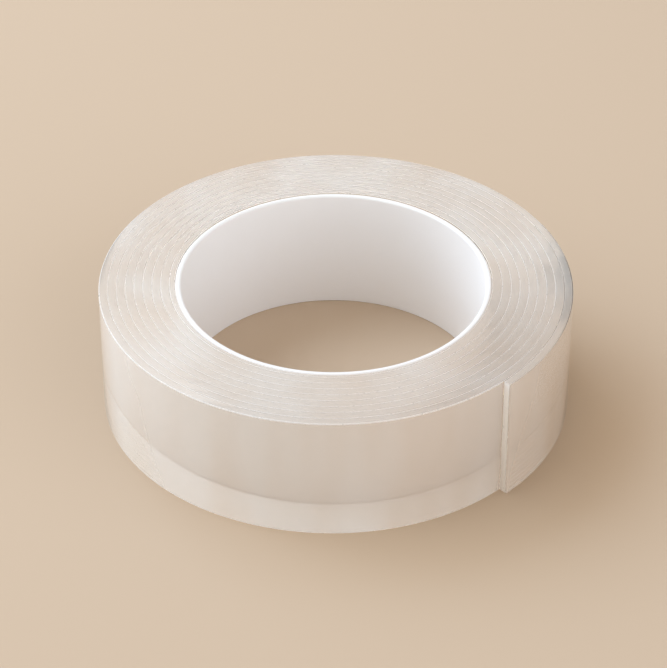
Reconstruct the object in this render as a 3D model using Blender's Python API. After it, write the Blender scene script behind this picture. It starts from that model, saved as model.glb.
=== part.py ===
"""Roll of double-sided gel mounting tape on a plastic core.

The frame has +Z up along the core's axis, with the origin on that axis at the face that the roll
lies on. Lengths are in metres and angles in degrees, anticlockwise from +X as seen from above.

A place along the tape is its station: 0 at the cut end, rising inwards towards the core. Every
layer is bent at the same stations, so that the layers' facets stay parallel.
"""

import math

import bmesh
import bpy

# Core
BORE_RADIUS = 0.0381
CORE_WALL = 0.0015
RIM_ROUND = 0.0004
RIM_ROUND_SEGMENTS = 2

# Tape
TAPE_WIDTH = 0.0332
GEL_THICKNESS = 0.0019
LINER_THICKNESS = 0.0001
LAPS = 9
START_THICKNESS = 0.0006

# Winding: the laps lie looser on one side by this share of the build
LOOSE_SHARE = 0.05
LOOSE_ANGLE = -90
END_ANGLE = -46

# Clearances
LAYER_GAP = 0.0001
HINGE_GAP = 0.0003

# Facets
STATIONS_PER_LAP = 48
CUT_TOLERANCE = 1e-6
SHARP_EDGE_ANGLE = 30

# Free end: short stretches that bend, then a grip, over the last part of which the liner peels
BENDING_SEGMENTS = 5
GRIP_STATIONS = 4
TAB_STATIONS = 3

CORE_RADIUS = BORE_RADIUS + CORE_WALL
LAP_PITCH = GEL_THICKNESS + LINER_THICKNESS + 2 * LAYER_GAP
LAST_STATION = round(LAPS * STATIONS_PER_LAP)
FIRST_WOUND_STATION = BENDING_SEGMENTS + GRIP_STATIONS


def angle_at(station):
    """Angle in radians of a place along the tape."""
    return math.radians(END_ANGLE + 360 * station / STATIONS_PER_LAP)


def outer_radius(station):
    """Radius of the liner's outer face."""
    laps_below = (LAST_STATION - station) / STATIONS_PER_LAP
    build = START_THICKNESS + LAP_PITCH * laps_below
    loose = math.cos(angle_at(station) - math.radians(LOOSE_ANGLE))
    return CORE_RADIUS + build * (1 + LOOSE_SHARE * loose)


def seat_radius(station):
    """Radius of what the tape lies on: its own next lap in, or the round core."""
    next_lap = station + STATIONS_PER_LAP
    if next_lap > LAST_STATION:
        return CORE_RADIUS
    return outer_radius(next_lap)


def liner_faces(station):
    outer = outer_radius(station)
    return outer - LINER_THICKNESS, outer


def gel_faces(station):
    liner_inner, _ = liner_faces(station)
    return seat_radius(station) + LAYER_GAP, liner_inner - LAYER_GAP


def hinge_point(station):
    """Where the free end bends: on the liner's outer face, so that bending only opens gaps."""
    angle = angle_at(station)
    radius = outer_radius(station)
    return (radius * math.cos(angle), radius * math.sin(angle), 0.0)


def hinge_gap_in_stations(station):
    station_length = math.tau * outer_radius(station) / STATIONS_PER_LAP
    return HINGE_GAP / station_length


def make_material(name, colour, roughness, alpha=1.0):
    material = bpy.data.materials.new(name)
    material.use_nodes = True
    shader = material.node_tree.nodes["Principled BSDF"]
    shader.inputs["Base Color"].default_value = (*colour, 1.0)
    shader.inputs["Roughness"].default_value = roughness
    shader.inputs["Metallic"].default_value = 0.0
    shader.inputs["Alpha"].default_value = alpha
    return material


def finish_object(bm, name, material, parent=None):
    """Makes a bmesh a smooth-shaded object, with its sharp edges kept."""
    bm.normal_update()
    bmesh.ops.recalc_face_normals(bm, faces=bm.faces)
    mesh = bpy.data.meshes.new(name)
    bm.to_mesh(mesh)
    bm.free()
    mesh.shade_smooth()
    mesh.set_sharp_from_angle(angle=math.radians(SHARP_EDGE_ANGLE))
    mesh.materials.append(material)
    obj = bpy.data.objects.new(name, mesh)
    bpy.context.collection.objects.link(obj)
    obj.parent = parent
    return obj


def make_core(material):
    """A turned ring with rounded rims, facing the tape's stations."""
    bm = bmesh.new()
    corners = (
        (BORE_RADIUS, 0.0),
        (CORE_RADIUS, 0.0),
        (CORE_RADIUS, TAPE_WIDTH),
        (BORE_RADIUS, TAPE_WIDTH),
    )
    start = angle_at(0)
    outline = [
        bm.verts.new((radius * math.cos(start), radius * math.sin(start), height))
        for radius, height in corners
    ]
    bm.faces.new(outline)
    bmesh.ops.bevel(
        bm,
        geom=bm.verts[:],
        affect="VERTICES",
        offset=RIM_ROUND,
        segments=RIM_ROUND_SEGMENTS,
        profile=0.5,
        material=-1,
    )
    bmesh.ops.delete(bm, geom=bm.faces[:], context="FACES_ONLY")
    bmesh.ops.spin(
        bm,
        geom=bm.edges[:],
        cent=(0, 0, 0),
        axis=(0, 0, 1),
        angle=math.tau,
        steps=STATIONS_PER_LAP,
        use_merge=True,
    )
    return finish_object(bm, "core", material)


def make_strip(name, faces_at, first, last, material, hinge=None, origin=(0.0, 0.0, 0.0)):
    """A stretch of one layer: a flat bar, cut across at each station and then wound.

    faces_at gives the inner and outer radius at a station. A hinge is the empty that the
    stretch turns with, and origin is that empty's place.
    """
    bm = bmesh.new()
    bmesh.ops.create_cube(bm, size=1.0)
    bmesh.ops.translate(bm, verts=bm.verts, vec=(0.5, 0.5, 0.5))
    bmesh.ops.scale(bm, verts=bm.verts, vec=(last - first, 1.0, TAPE_WIDTH))
    bmesh.ops.translate(bm, verts=bm.verts, vec=(first, 0.0, 0.0))
    for station in range(math.floor(first) + 1, math.ceil(last)):
        bmesh.ops.bisect_plane(
            bm,
            geom=bm.verts[:] + bm.edges[:] + bm.faces[:],
            dist=CUT_TOLERANCE,
            plane_co=(station, 0.0, 0.0),
            plane_no=(1.0, 0.0, 0.0),
        )
    for vert in bm.verts:
        station, side, height = vert.co
        radius = faces_at(station)[round(side)]
        angle = angle_at(station)
        vert.co = (
            radius * math.cos(angle) - origin[0],
            radius * math.sin(angle) - origin[1],
            height,
        )
    return finish_object(bm, name, material, parent=hinge)


def make_hinge(name, station, parent, parent_origin):
    """An empty on a hinge's axis. Returns it with its place."""
    origin = hinge_point(station)
    hinge = bpy.data.objects.new(name, None)
    bpy.context.collection.objects.link(hinge)
    hinge.parent = parent
    hinge.location = [here - there for here, there in zip(origin, parent_origin)]
    return hinge, origin


def trimmed(outer_end, inner_end):
    """A stretch between two stations, less half a hinge gap where it meets a hinge."""
    first = outer_end
    if outer_end > 0:
        first += hinge_gap_in_stations(outer_end) / 2
    last = inner_end - hinge_gap_in_stations(inner_end) / 2
    return first, last


def make_free_end(gel, liner):
    """The bending stretches of the tape, its grip, and the liner tab that peels off the grip."""
    parent, parent_origin = None, (0.0, 0.0, 0.0)
    for number in range(1, BENDING_SEGMENTS + 2):
        inner_end = FIRST_WOUND_STATION - number + 1
        is_grip = number > BENDING_SEGMENTS
        gel_outer_end = 0 if is_grip else inner_end - 1
        liner_outer_end = TAB_STATIONS if is_grip else inner_end - 1
        hinge, origin = make_hinge(f"tape_hinge_{number}", inner_end, parent, parent_origin)
        gel_stretch = trimmed(gel_outer_end, inner_end)
        make_strip(f"gel_end_{number}", gel_faces, *gel_stretch, gel, hinge, origin)
        liner_stretch = trimmed(liner_outer_end, inner_end)
        make_strip(f"liner_end_{number}", liner_faces, *liner_stretch, liner, hinge, origin)
        parent, parent_origin = hinge, origin
    for number in range(1, TAB_STATIONS + 1):
        inner_end = TAB_STATIONS - number + 1
        hinge, origin = make_hinge(f"liner_hinge_{number}", inner_end, parent, parent_origin)
        stretch = trimmed(inner_end - 1, inner_end)
        make_strip(f"liner_tab_{number}", liner_faces, *stretch, liner, hinge, origin)
        parent, parent_origin = hinge, origin


def main():
    for obj in list(bpy.data.objects):
        bpy.data.objects.remove(obj)
    white_plastic = make_material("white_plastic", (0.86, 0.85, 0.85), 0.45)
    clear_gel = make_material("clear_gel", (0.66, 0.60, 0.53), 0.25, alpha=0.85)
    clear_film = make_material("clear_film", (0.72, 0.67, 0.61), 0.15, alpha=0.5)

    make_core(white_plastic)
    first_wound = FIRST_WOUND_STATION + hinge_gap_in_stations(FIRST_WOUND_STATION) / 2
    make_strip("gel_roll", gel_faces, first_wound, LAST_STATION, clear_gel)
    make_strip("liner_roll", liner_faces, first_wound, LAST_STATION, clear_film)
    make_free_end(clear_gel, clear_film)


main()
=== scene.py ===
"""Looks for a roll of milky-clear gel mounting tape on a white plastic core.

Lengths are in metres and angles in degrees. A place along the tape is its station: 0 at the cut
end, rising inwards to the core, with STATIONS_PER_LAP of them in each lap.
"""

import math

import bmesh
import bpy
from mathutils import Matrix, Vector


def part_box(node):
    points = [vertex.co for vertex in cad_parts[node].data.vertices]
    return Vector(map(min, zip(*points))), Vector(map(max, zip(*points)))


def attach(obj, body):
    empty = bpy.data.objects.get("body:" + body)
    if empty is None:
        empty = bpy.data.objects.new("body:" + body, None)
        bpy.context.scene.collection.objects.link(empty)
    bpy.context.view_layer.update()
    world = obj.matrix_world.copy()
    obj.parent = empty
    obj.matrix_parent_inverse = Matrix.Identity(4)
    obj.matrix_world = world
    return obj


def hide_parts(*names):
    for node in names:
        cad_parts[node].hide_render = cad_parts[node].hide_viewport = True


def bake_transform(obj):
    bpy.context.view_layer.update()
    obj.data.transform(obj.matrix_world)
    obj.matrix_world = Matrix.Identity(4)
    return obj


MM = 0.001

# The winding, as the model has it
LAPS = 9
STATIONS_PER_LAP = 48
CORE_RADIUS = 39.6 * MM
BORE_RADIUS = 38.1 * MM
LAP_PITCH = 2.2 * MM
START_THICKNESS = 0.6 * MM
LINER_THICKNESS = 0.1 * MM
LAYER_GAP = 0.1 * MM
LOOSE_SHARE = 0.05
LOOSE_ANGLE = -90
END_ANGLE = -46
LAST_STATION = LAPS * STATIONS_PER_LAP

# Where the free end bends, in stations
TAPE_HINGES = (9, 8, 7, 6, 5, 4)
LINER_HINGES = (3, 2, 1)
HALF_STRETCH = 0.5

# Length of a station while a strip is still flat
STATION_LENGTH = 7.7 * MM

# How finely the pieces are made
CUTS_PER_STATION = 6
CUT_TOLERANCE = 1e-7
CORE_STEPS = 288

# Edges
CORE_RIM_ROUND = 0.6 * MM
CORE_FOOT_ROUND = 0.2 * MM
CORE_EDGE_SEGMENTS = 6
LAP_EDGE_ROUND = 0.1 * MM
OUTSIDE_EDGE_ROUND = 0.25 * MM
GEL_EDGE_ROUND = 0.15 * MM
LINER_EDGE_ROUND = 0.03 * MM
EDGE_SEGMENTS = 3
SHARP_ANGLE = 40
WELD = 0.001 * MM

# The rounding of a lap's edge is at most the lap's thickness over this, to keep its sides apart
ROUNDS_IN_A_LAP = 2.5

# How squarely a face's normal has to lie along a direction to count as facing that way
UPRIGHT_BELOW = 0.05
OUTWARD_ABOVE = 0.9
LEVEL_ABOVE = 0.97
SQUARE_ABOVE = 0.95

# Material slots of a stretch of tape or liner
OUTER_FACE, INNER_FACE, BETWEEN, LONG_EDGE, CUT_END, ROUNDED, LOWER_EDGE = range(7)

# Material slots of the wound roll
OUTSIDE, PRESSED_EDGE, COVERED, STUCK, SLIT, UNDERSIDE = range(6)

# Core's surface: how many bumps there are in a metre, which is 1.1 mm for each
PEEL_PER_METRE = 900

# Gel and film: how much they bend light, and their haze. A warmer tone is mixed into the haze
# in clouds drawn out upwards: a painted reflection of the room.
GEL_BENDING = 1.4
REFLECTION_STREAK_SIZE = 22 * MM
REFLECTION_STREAK_SQUEEZE = 0.2
REFLECTION_STREAK_SHARES = (0.35, 0.65)
GLOSS_SPREAD = (0.7, 1.3)
COAT_ROUGHNESS = 0.12

# Floor: how far it reaches each way, and how far it lies below the roll
FLOOR_REACH = 3
FLOOR_DROP = 0.02 * MM

# Camera
VIEW_ELEVATION = 35.93
VIEW_DISTANCE = 765 * MM
LENS_MM = 162.9
SENSOR_MM = 36


def angle_at(station):
    return math.radians(END_ANGLE + 360 * station / STATIONS_PER_LAP)


def outer_radius(station):
    """Radius of the outside of the tape, with its liner."""
    laps_below = (LAST_STATION - station) / STATIONS_PER_LAP
    build = START_THICKNESS + LAP_PITCH * laps_below
    loose = math.cos(angle_at(station) - math.radians(LOOSE_ANGLE))
    return CORE_RADIUS + build * (1 + LOOSE_SHARE * loose)


def seat_radius(station):
    """Radius of what the tape lies on: its next lap in, or the core."""
    next_lap = station + STATIONS_PER_LAP
    return outer_radius(next_lap) if next_lap <= LAST_STATION else CORE_RADIUS


def liner_faces(station):
    outer = outer_radius(station)
    return outer - LINER_THICKNESS, outer


def gel_faces(station):
    return seat_radius(station) + LAYER_GAP, liner_faces(station)[0] - LAYER_GAP


def lap_faces(station):
    """The whole thickness of a lap, pressed against the next but not against the core."""
    inner = seat_radius(station)
    if station + STATIONS_PER_LAP > LAST_STATION:
        inner += LAYER_GAP
    return inner, outer_radius(station)


def wind(bm, faces_at, depth):
    """Winds a flat strip: x is along the tape, y the depth through the layer, z the height."""
    for vert in bm.verts:
        x, y, height = vert.co
        station = x / STATION_LENGTH
        inner, outer = faces_at(station)
        radius = inner + (outer - inner) * y / depth
        angle = angle_at(station)
        vert.co = (radius * math.cos(angle), radius * math.sin(angle), height)


def cut_across(bm, first, last):
    """Cuts a flat strip at evenly spaced stations, so that it can be wound smoothly."""
    count = round((last - first) * CUTS_PER_STATION)
    for number in range(1, count):
        bmesh.ops.bisect_plane(
            bm,
            geom=bm.verts[:] + bm.edges[:] + bm.faces[:],
            dist=CUT_TOLERANCE,
            plane_co=((first + (last - first) * number / count) * STATION_LENGTH, 0, 0),
            plane_no=(1, 0, 0),
        )


def finish_piece(bm, name, materials):
    """Turns a bmesh into an object at the origin, smooth but for its sharp edges."""
    bmesh.ops.remove_doubles(bm, verts=bm.verts, dist=WELD)
    bm.normal_update()
    bmesh.ops.recalc_face_normals(bm, faces=bm.faces)
    mesh = bpy.data.meshes.new(name)
    bm.to_mesh(mesh)
    bm.free()
    mesh.shade_smooth()
    mesh.set_sharp_from_angle(angle=math.radians(SHARP_ANGLE))
    for material in materials:
        mesh.materials.append(material)
    piece = bpy.data.objects.new(name, mesh)
    bpy.context.collection.objects.link(piece)
    return piece


def make_core(width, material):
    """The moulded ring, turned from a section with rounded rims."""
    bm = bmesh.new()
    section = (
        (BORE_RADIUS, 0),
        (CORE_RADIUS, 0),
        (CORE_RADIUS, width),
        (BORE_RADIUS, width),
    )
    corners = [bm.verts.new((radius, 0, height)) for radius, height in section]
    bm.faces.new(corners)
    for ends, edge_round in ((corners[2:], CORE_RIM_ROUND), (corners[:2], CORE_FOOT_ROUND)):
        bmesh.ops.bevel(
            bm, geom=ends, affect="VERTICES", offset=edge_round, segments=CORE_EDGE_SEGMENTS,
            profile=0.5, material=-1,
        )
    bmesh.ops.delete(bm, geom=bm.faces[:], context="FACES_ONLY")
    bmesh.ops.spin(
        bm, geom=bm.edges[:], cent=(0, 0, 0), axis=(0, 0, 1), angle=math.tau, steps=CORE_STEPS,
        use_merge=True,
    )
    piece = finish_piece(bm, "core_ring", [material])
    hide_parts("core")
    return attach(piece, "roll")


def edge_profile():
    """Points of a rounded edge from the side inwards: (how far in, how far down), as shares."""
    points = []
    for number in range(EDGE_SEGMENTS + 1):
        turn = math.pi / 2 * number / EDGE_SEGMENTS
        points.append((1 - math.cos(turn), 1 - math.sin(turn)))
    return points


def make_wound_roll(width, first, materials):
    """The laps pressed into one clear block, with a fine groove between the edges of each two.

    A grid is wound into the laps' top edges, each rounded at both sides and welded to the next
    along their groove. The underside is its mirror image, and the walls join the two.
    """
    bm = bmesh.new()
    columns = round((LAST_STATION - first) * CUTS_PER_STATION)
    profile = edge_profile()
    rows = len(profile) * 2 - 1
    bmesh.ops.create_grid(bm, x_segments=columns, y_segments=rows, size=0.5)
    for vert in bm.verts:
        column = round((vert.co.x + 0.5) * columns)
        row = round((vert.co.y + 0.5) * rows)
        station = first + column / CUTS_PER_STATION
        inner, outer = lap_faces(station)
        from_side = min(row, rows - row)
        reach, drop = profile[from_side]
        on_outside = row >= len(profile) and station < STATIONS_PER_LAP
        edge_round = OUTSIDE_EDGE_ROUND if on_outside else LAP_EDGE_ROUND
        inset = reach * min(edge_round, (outer - inner) / ROUNDS_IN_A_LAP)
        radius = inner + inset if row < len(profile) else outer - inset
        angle = angle_at(station)
        height = width - drop * edge_round
        vert.co = (radius * math.cos(angle), radius * math.sin(angle), height)
    bmesh.ops.remove_doubles(bm, verts=bm.verts, dist=WELD)
    top = bm.faces[:]
    rim = [edge for edge in bm.edges if edge.is_boundary]
    walls = bmesh.ops.extrude_edge_only(bm, edges=rim)["geom"]
    for vert in (item for item in walls if isinstance(item, bmesh.types.BMVert)):
        vert.co.z = width - vert.co.z
    under = bmesh.ops.duplicate(bm, geom=top)["geom"]
    for vert in {item for item in under if isinstance(item, bmesh.types.BMVert)}:
        vert.co.z = width - vert.co.z
    bmesh.ops.remove_doubles(bm, verts=bm.verts, dist=WELD)
    bm.normal_update()
    bmesh.ops.recalc_face_normals(bm, faces=bm.faces)
    for face in bm.faces:
        middle = face.calc_center_median()
        outward = Vector((middle.x, middle.y, 0)).normalized()
        turn = math.degrees(math.atan2(middle.y, middle.x)) - END_ANGLE
        station = turn % 360 * STATIONS_PER_LAP / 360
        upright = abs(face.normal.z) < UPRIGHT_BELOW
        if upright and face.normal.dot(outward) > OUTWARD_ABOVE:
            face.material_index = COVERED if station < first else OUTSIDE
        elif upright:
            face.material_index = STUCK
        elif abs(face.normal.z) < LEVEL_ABOVE:
            face.material_index = SLIT
        else:
            face.material_index = PRESSED_EDGE if face.normal.z > 0 else UNDERSIDE
    piece = finish_piece(bm, "wound_roll", materials)
    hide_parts("gel_roll", "liner_roll")
    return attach(piece, "roll")


def make_stretch(name, faces_at, depth, edge_round, width, first, last, materials):
    """One stretch of a layer of the free end, made flat and then wound.

    Its edges are rounded along it, and at the tape's cut end, which lies at x = 0.
    """
    bm = bmesh.new()
    bmesh.ops.create_cube(bm, size=1)
    bmesh.ops.translate(bm, verts=bm.verts, vec=(0.5, 0.5, 0.5))
    bmesh.ops.scale(bm, verts=bm.verts, vec=((last - first) * STATION_LENGTH, depth, width))
    bmesh.ops.translate(bm, verts=bm.verts, vec=(first * STATION_LENGTH, 0, 0))
    rounded = [
        edge for edge in bm.edges
        if abs(edge.verts[0].co.x - edge.verts[1].co.x) > WELD
        or edge.verts[0].co.x + edge.verts[1].co.x < WELD
    ]
    bmesh.ops.bevel(
        bm, geom=rounded, affect="EDGES", offset=edge_round, segments=EDGE_SEGMENTS,
        profile=0.5, material=-1,
    )
    cut_across(bm, first, last)
    bm.normal_update()
    for face in bm.faces:
        flat = max(abs(value) for value in face.normal) > SQUARE_ABOVE
        if abs(face.normal.x) > SQUARE_ABOVE:
            at_cut_end = face.calc_center_median().x < WELD
            face.material_index = CUT_END if at_cut_end else BETWEEN
        elif not flat:
            face.material_index = ROUNDED
        elif abs(face.normal.z) > SQUARE_ABOVE:
            face.material_index = LONG_EDGE if face.normal.z > 0 else LOWER_EDGE
        else:
            face.material_index = OUTER_FACE if face.normal.y > 0 else INNER_FACE
    wind(bm, faces_at, depth)
    return finish_piece(bm, name, [materials[slot] for slot in sorted(materials)])


def stretches(hinges, outer_end):
    """(hinge, first, last, number) of each stretch.

    It runs from midway between two hinges to the next midway. The last one runs to outer_end.
    """
    made = []
    for number, hinge in enumerate(hinges):
        last = hinge + HALF_STRETCH
        first = hinge - HALF_STRETCH if number < len(hinges) - 1 else outer_end
        made.append((hinge, first, last, number))
    return made


def bend_over(piece):
    """Bakes a stretch's placing into its mesh. It is left as wound, not bent.
    """
    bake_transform(piece)


def make_free_end(width, gel_materials, liner_materials):
    """The end of the tape that peels: gel, the liner on it, and the liner's tab that peels too."""
    gel_depth = LAP_PITCH - LINER_THICKNESS - 2 * LAYER_GAP
    for hinge, first, last, number in stretches(TAPE_HINGES, 0):
        piece = make_stretch(
            f"gel_strip_{number + 1}", gel_faces, gel_depth, GEL_EDGE_ROUND, width, first, last,
            gel_materials,
        )
        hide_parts(f"gel_end_{number + 1}")
        bend_over(piece)
    tab_start = LINER_HINGES[0] + HALF_STRETCH
    for hinge, first, last, number in stretches(TAPE_HINGES, tab_start):
        piece = make_stretch(
            f"liner_strip_{number + 1}", liner_faces, LINER_THICKNESS, LINER_EDGE_ROUND, width,
            first, last, liner_materials,
        )
        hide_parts(f"liner_end_{number + 1}")
        bend_over(piece)
    for hinge, first, last, number in stretches(LINER_HINGES, 0):
        piece = make_stretch(
            f"liner_tab_strip_{number + 1}", liner_faces, LINER_THICKNESS, LINER_EDGE_ROUND,
            width, first, last, liner_materials,
        )
        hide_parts(f"liner_tab_{number + 1}")
        bend_over(piece)


def linear(code):
    """Linear colour of an sRGB hex value such as "F0EFED"."""
    channels = [int(code[i : i + 2], 16) / 255 for i in (0, 2, 4)]
    return [c / 12.92 if c <= 0.04045 else ((c + 0.055) / 1.055) ** 2.4 for c in channels] + [1]


def add_node(tree, kind, settings=(), values=(), links=()):
    """Adds a node: settings are its attributes, values its sockets, links {socket: output}."""
    node = tree.nodes.new(kind)
    for name, value in dict(settings).items():
        setattr(node, name, value)
    for name, value in dict(values).items():
        node.inputs[name].default_value = value
    for name, output in dict(links).items():
        tree.links.new(output, node.inputs[name])
    return node


def new_material(name):
    material = bpy.data.materials.new(name)
    material.use_nodes = True
    tree = material.node_tree
    tree.nodes.clear()
    return material, tree


def moulded_white_polystyrene():
    """Polystyrene, injection-moulded: a satin white, with the faint orange peel of a plain mould.

    A little light goes into it, which softens the shade along its rims.
    """
    material, tree = new_material("moulded_white_polystyrene")
    where = add_node(tree, "ShaderNodeTexCoord")
    peel = add_node(
        tree, "ShaderNodeTexNoise", values={"Scale": PEEL_PER_METRE, "Detail": 3},
        links={"Vector": where.outputs["Object"]},
    )
    bump = add_node(
        tree, "ShaderNodeBump", values={"Strength": 0.12, "Distance": 0.02 * MM},
        links={"Height": peel.outputs["Fac"]},
    )
    gloss = add_node(
        tree, "ShaderNodeMapRange", values={"To Min": 0.38, "To Max": 0.52},
        links={"Value": peel.outputs["Fac"]},
    )
    shader = add_node(
        tree, "ShaderNodeBsdfPrincipled",
        values={"Base Color": linear("F4F2F1"), "IOR": 1.49, "Subsurface Weight": 0.3,
                "Subsurface Radius": (1, 1, 1), "Subsurface Scale": 0.6 * MM},
        links={"Normal": bump.outputs["Normal"], "Roughness": gloss.outputs["Result"]},
    )
    add_node(tree, "ShaderNodeOutputMaterial", links={"Surface": shader.outputs["BSDF"]})
    return material


def let_light_in(tree, shader, tint):
    """Lets light fall straight through, tinted, on what lies inside. Only what is seen is bent."""
    path = add_node(tree, "ShaderNodeLightPath")
    clear = add_node(tree, "ShaderNodeBsdfTransparent", values={"Color": linear(tint)})
    surface = shader.outputs["BSDF"]
    for kind in ("Is Diffuse Ray", "Is Shadow Ray"):
        mix = add_node(tree, "ShaderNodeMixShader", links={"Fac": path.outputs[kind]})
        tree.links.new(surface, mix.inputs[1])
        tree.links.new(clear.outputs["BSDF"], mix.inputs[2])
        surface = mix.outputs["Shader"]
    add_node(tree, "ShaderNodeOutputMaterial", links={"Surface": surface})


def clear_material(
    name, tones, clarity, roughness, passing, bending=GEL_BENDING, coat=0.3, wave=(1.5, 1.5),
    wave_depth=0.01,
):
    """A clear material with a milky haze.

    tones are the haze's two colours: the second, warmer one is mixed in by clouds drawn out
    upwards, a painted reflection of the room. clarity is the share of light that isn't hazed, and
    passing tints the light that falls through on what lies inside. bending is the IOR. wave is
    the size in mm of the surface's waves, across and up, and wave_depth is how deep they are,
    also in mm.
    """
    material, tree = new_material(name)
    where = add_node(tree, "ShaderNodeTexCoord")
    stretch = add_node(
        tree, "ShaderNodeMapping", values={"Scale": (1, 1, wave[0] / wave[1])},
        links={"Vector": where.outputs["Object"]},
    )
    waves = add_node(
        tree, "ShaderNodeTexNoise", values={"Scale": 1 / (wave[0] * MM), "Detail": 2},
        links={"Vector": stretch.outputs["Vector"]},
    )
    # Painted reflection: clouds drawn out upwards mix the warmer tone into the haze's colour,
    # standing for the room mirrored in the walls.
    upright = add_node(
        tree, "ShaderNodeMapping", values={"Scale": (1, 1, REFLECTION_STREAK_SQUEEZE)},
        links={"Vector": where.outputs["Object"]},
    )
    reflection_streaks = add_node(
        tree, "ShaderNodeTexNoise", values={"Scale": 1 / REFLECTION_STREAK_SIZE, "Detail": 2},
        links={"Vector": upright.outputs["Vector"]},
    )
    reflection_streak_share = add_node(
        tree, "ShaderNodeMapRange",
        values={"From Min": REFLECTION_STREAK_SHARES[0], "From Max": REFLECTION_STREAK_SHARES[1]},
        links={"Value": reflection_streaks.outputs["Fac"]},
    )
    haze = add_node(
        tree, "ShaderNodeMixRGB",
        values={"Color1": linear(tones[0]), "Color2": linear(tones[1])},
        links={"Fac": reflection_streak_share.outputs["Result"]},
    )
    gloss = add_node(
        tree, "ShaderNodeMapRange",
        values={"To Min": roughness * GLOSS_SPREAD[0], "To Max": roughness * GLOSS_SPREAD[1]},
        links={"Value": waves.outputs["Fac"]},
    )
    bump = add_node(
        tree, "ShaderNodeBump", values={"Strength": 1, "Distance": wave_depth * MM},
        links={"Height": waves.outputs["Fac"]},
    )
    shader = add_node(
        tree, "ShaderNodeBsdfPrincipled",
        values={"IOR": bending, "Transmission Weight": clarity, "Coat Weight": coat,
                "Coat Roughness": COAT_ROUGHNESS},
        links={"Base Color": haze.outputs["Color"], "Roughness": gloss.outputs["Result"],
               "Normal": bump.outputs["Normal"]},
    )
    let_light_in(tree, shader, passing)
    return material


def make_stage():
    """A plain pale floor, painted matt, and warm enough to tint what is clear above it."""
    material, tree = new_material("pale_floor")
    shader = add_node(
        tree, "ShaderNodeBsdfPrincipled",
        values={"Base Color": linear("CDB79F"), "Roughness": 0.75, "Specular IOR Level": 0.2},
    )
    add_node(tree, "ShaderNodeOutputMaterial", links={"Surface": shader.outputs["BSDF"]})
    bm = bmesh.new()
    bmesh.ops.create_grid(bm, x_segments=1, y_segments=1, size=FLOOR_REACH)
    bmesh.ops.translate(bm, verts=bm.verts, vec=(0, 0, -FLOOR_DROP))
    floor = finish_piece(bm, "floor", [material])


def make_light(name, direction, distance, size, power, colour, mirrored=True):
    """A square soft light, at a distance along a direction, facing the roll.

    It isn't seen through the gel. Glossy faces show it only if it is mirrored.
    """
    data = bpy.data.lights.new(name, "AREA")
    data.size = size
    data.energy = power
    data.color = linear(colour)[:3]
    light = bpy.data.objects.new(name, data)
    light.visible_transmission = False
    light.visible_glossy = mirrored
    bpy.context.collection.objects.link(light)
    way = Vector(direction).normalized()
    light.location = way * distance
    light.rotation_euler = (-way).to_track_quat("-Z", "Y").to_euler()


def make_lights():
    make_light(
        "window", (-0.72, 0.66, 0.95), distance=1.5, size=1.1, power=18, colour="D8EAFF",
        mirrored=False,
    )
    make_light(
        "left_wall", (-1, -0.05, 0.45), distance=2.0, size=2.6, power=39, colour="E0F0FF",
        mirrored=False,
    )
    make_light(
        "right_wall", (0.8, -0.6, 0.3), distance=2.0, size=2.6, power=35, colour="EAF3FF",
    )
    world = bpy.data.worlds.new("studio")
    bpy.context.scene.world = world
    world.use_nodes = True
    background = world.node_tree.nodes["Background"]
    background.inputs["Color"].default_value = linear("FFEED8")
    background.inputs["Strength"].default_value = 0.46


def make_camera(width):
    data = bpy.data.cameras.new("camera")
    data.sensor_width = SENSOR_MM
    data.lens = LENS_MM
    camera = bpy.data.objects.new("camera", data)
    bpy.context.collection.objects.link(camera)
    tilt = math.radians(VIEW_ELEVATION)
    target = Vector((0, 0, width / 2))
    away = Vector((0, -math.cos(tilt), math.sin(tilt)))
    camera.location = target + away * VIEW_DISTANCE
    camera.rotation_euler = (-away).to_track_quat("-Z", "Y").to_euler()
    bpy.context.scene.camera = camera


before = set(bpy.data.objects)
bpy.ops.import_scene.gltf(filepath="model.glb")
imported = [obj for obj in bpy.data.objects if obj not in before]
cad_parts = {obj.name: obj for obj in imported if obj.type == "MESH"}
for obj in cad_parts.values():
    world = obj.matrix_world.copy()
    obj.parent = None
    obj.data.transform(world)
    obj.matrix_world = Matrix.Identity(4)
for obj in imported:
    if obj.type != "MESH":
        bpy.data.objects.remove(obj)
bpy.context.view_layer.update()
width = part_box("core")[1].z
bpy.context.scene.view_settings.view_transform = "Standard"
make_camera(width)
make_lights()
make_stage()

# Acrylic gel, slit to width: the blade leaves the lap edges half clear and satin, with a fine
# ripple, so the top of the roll is milky and the floor tints it.
gel = clear_material(
    "slit_acrylic_gel", ("FFFDFA", "F7EEE5"), clarity=0.66, roughness=0.12, passing="E2DCD4",
    wave=(0.8, 0.8), wave_depth=0.004,
)
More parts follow.
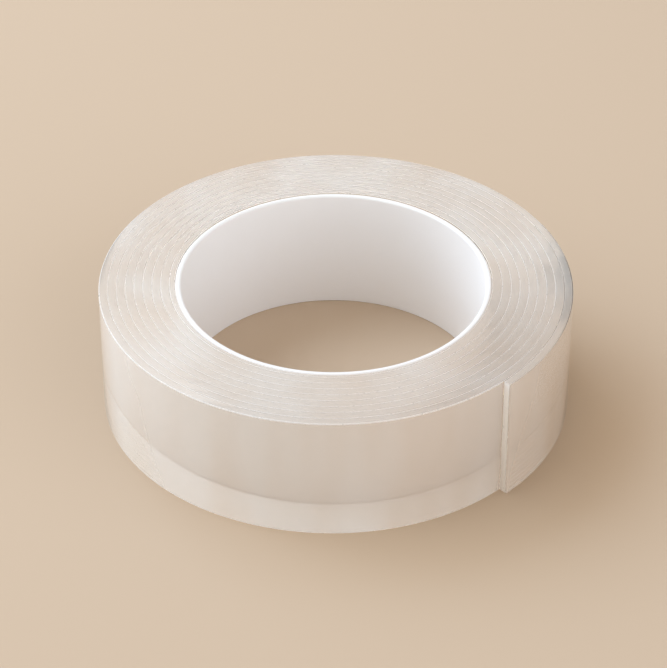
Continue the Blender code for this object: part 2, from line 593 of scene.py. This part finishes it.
# Acrylic gel and its liner, each where it is stuck to what lies against it: with no air between
# there is no gloss, and light goes on unbent, a little dimmed.
touching = clear_material(
    "gel_in_contact", ("FDFBF8", "FDFBF8"), clarity=0.96, roughness=0, passing="FAF7F4",
    bending=1, coat=0, wave_depth=0,
)
# Release film on the lap that peeling uncovers: it is still stuck to its own gel, so it is clear
# with only a soft gloss.
uncovered = clear_material(
    "uncovered_lap_film", ("FFFFFF", "FDF9F5"), clarity=0.78, roughness=0.1, passing="F0EAE2",
    bending=1,
)
# Acrylic gel all in one, as cast: where one stretch goes on into the next, nothing shows.
unbroken = clear_material(
    "gel_within", ("FFFFFF", "FFFFFF"), clarity=1, roughness=0, passing="FFFFFF", bending=1,
    coat=0, wave_depth=0,
)
# Acrylic gel, slit and then stood on: taken to be scuffed, so the mirror image of it along the
# foot of the wall is a cloudy band.
underside = clear_material(
    "stood_on_gel", ("FFFFFF", "FFFBF7"), clarity=0.42, roughness=0.12, passing="F0EAE2",
)
# The corners that slitting leaves along the gel: frosted, so each lap ends in a pale thread.
slit = clear_material(
    "slit_corner_gel", ("FFFFFF", "FBF5EF"), clarity=0.4, roughness=0.3, passing="F0EAE2",
)
# Acrylic gel, cut across by a knife: the dragged face scatters light and is almost white.
knife_cut = clear_material(
    "knife_cut_gel", ("FFFFFF", "FFFBF6"), clarity=0.1, roughness=0.3, passing="F0EAE2",
)
# Release film, drawn as a thin sheet: glossy, with long shallow waves from the drawing that
# stretch whatever it mirrors into upright streaks.
film = clear_material(
    "drawn_release_film", ("FFFEFD", "F6ECE2"), clarity=0.7, roughness=0.08, passing="E2DCD4",
    coat=0.4, wave=(9, 90), wave_depth=0.12,
)

make_core(width, moulded_white_polystyrene())
make_wound_roll(
    width, TAPE_HINGES[0] + HALF_STRETCH, [film, gel, uncovered, unbroken, slit, underside],
)
make_free_end(
    width,
    {
        OUTER_FACE: touching, INNER_FACE: touching, BETWEEN: unbroken, LONG_EDGE: gel,
        CUT_END: knife_cut, ROUNDED: slit, LOWER_EDGE: underside,
    },
    {
        OUTER_FACE: film, INNER_FACE: touching, BETWEEN: unbroken, LONG_EDGE: film,
        CUT_END: film, ROUNDED: film, LOWER_EDGE: film,
    },
)
